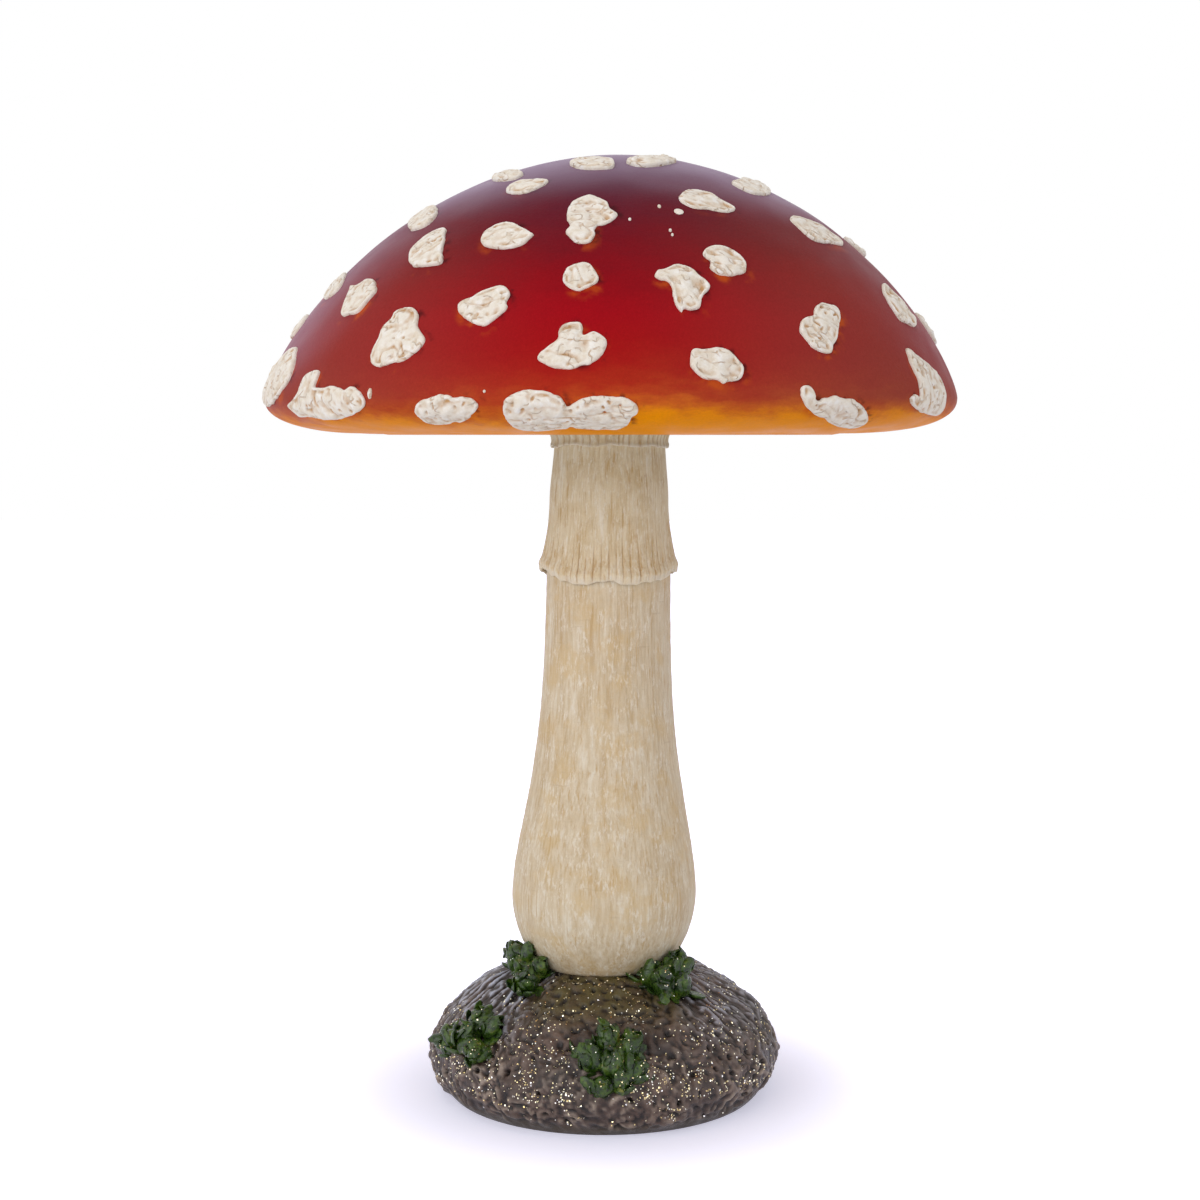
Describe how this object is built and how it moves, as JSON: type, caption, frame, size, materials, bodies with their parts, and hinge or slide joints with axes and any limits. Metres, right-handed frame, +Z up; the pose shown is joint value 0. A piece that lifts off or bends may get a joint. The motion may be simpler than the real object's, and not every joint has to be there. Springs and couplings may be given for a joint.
{
  "type": "toadstool ornament",
  "caption": "Free-standing painted resin toadstool: red domed cap with raised cream warts, pale stem with a scalloped skirt, and a soil mound with moss.",
  "frame": {"origin": "centre of the flat foot, on the surface that the ornament stands on", "axes": "+Z up along the stem, -Y towards the viewer (front), +X to the viewer's right"},
  "size_m": [0.3, 0.303, 0.4113],
  "materials": {
    "cap_paint": "semi-gloss airbrushed lacquer, orange at the rim to plum at the crown",
    "wart_paste": "matte cream paste with ochre wash in its dents",
    "stem_paint": "matte cream with vertical brush streaks",
    "skirt_paint": "matte tan with pleat grooves",
    "gill_paint": "matte cream",
    "soil_paint": "satin brown-grey soil with gold glitter",
    "moss_green": "glossy dark green with glitter",
    "rod_steel": "plain drawn steel",
    "ballast_mortar": "rough cast mortar",
    "foot_felt": "dark felt"
  },
  "bodies": {
    "root": {"base_mound": "soil_paint", "base_ballast": "ballast_mortar", "base_pad": "foot_felt", "stem": "stem_paint", "reinforcing_rod": "rod_steel", "skirt": "skirt_paint", "neck_collar": "skirt_paint", "cap_shell": "cap_paint", "gill_plate": "gill_paint", "wart_rim_left_edge": "wart_paste", "wart_rim_left_long": "wart_paste", "wart_rim_left_pair": "wart_paste", "wart_rim_front_double": "wart_paste", "wart_rim_right_hook": "wart_paste", "wart_rim_right_tapered": "wart_paste", "wart_low_left_tall": "wart_paste", "wart_low_front_trefoil": "wart_paste", "wart_low_front_oval": "wart_paste", "wart_low_right_heart": "wart_paste", "wart_middle_left_edge": "wart_paste", "wart_middle_left_small": "wart_paste", "wart_middle_left_slant": "wart_paste", "wart_middle_left_bean": "wart_paste", "wart_middle_front_round": "wart_paste", "wart_middle_front_hook": "wart_paste", "wart_middle_right_narrow": "wart_paste", "wart_middle_right_edge": "wart_paste", "wart_upper_left_edge": "wart_paste", "wart_upper_left_corner": "wart_paste", "wart_upper_left_oval": "wart_paste", "wart_upper_front_double": "wart_paste", "wart_upper_right_pair": "wart_paste", "wart_upper_right_tail": "wart_paste", "wart_upper_right_long": "wart_paste", "wart_upper_right_edge": "wart_paste", "wart_crown_left_thin": "wart_paste", "wart_crown_left_edge": "wart_paste", "wart_crown_front": "wart_paste", "wart_crown_right": "wart_paste", "wart_crown_right_edge": "wart_paste", "wart_back_rim_right": "wart_paste", "wart_back_rim_middle": "wart_paste", "wart_back_rim_left": "wart_paste", "wart_back_rim_far_left": "wart_paste", "wart_back_low_right": "wart_paste", "wart_back_low_middle": "wart_paste", "wart_back_low_left": "wart_paste", "wart_back_low_far_left": "wart_paste", "wart_back_middle_right": "wart_paste", "wart_back_middle": "wart_paste", "wart_back_middle_left": "wart_paste", "wart_back_upper_right": "wart_paste", "wart_back_upper_middle": "wart_paste", "wart_back_upper_left": "wart_paste", "wart_back_crown": "wart_paste", "moss_front_left": "moss_green", "moss_front": "moss_green", "moss_foot_left": "moss_green", "moss_foot_right": "moss_green", "moss_back": "moss_green"}
  },
  "joints": []
}
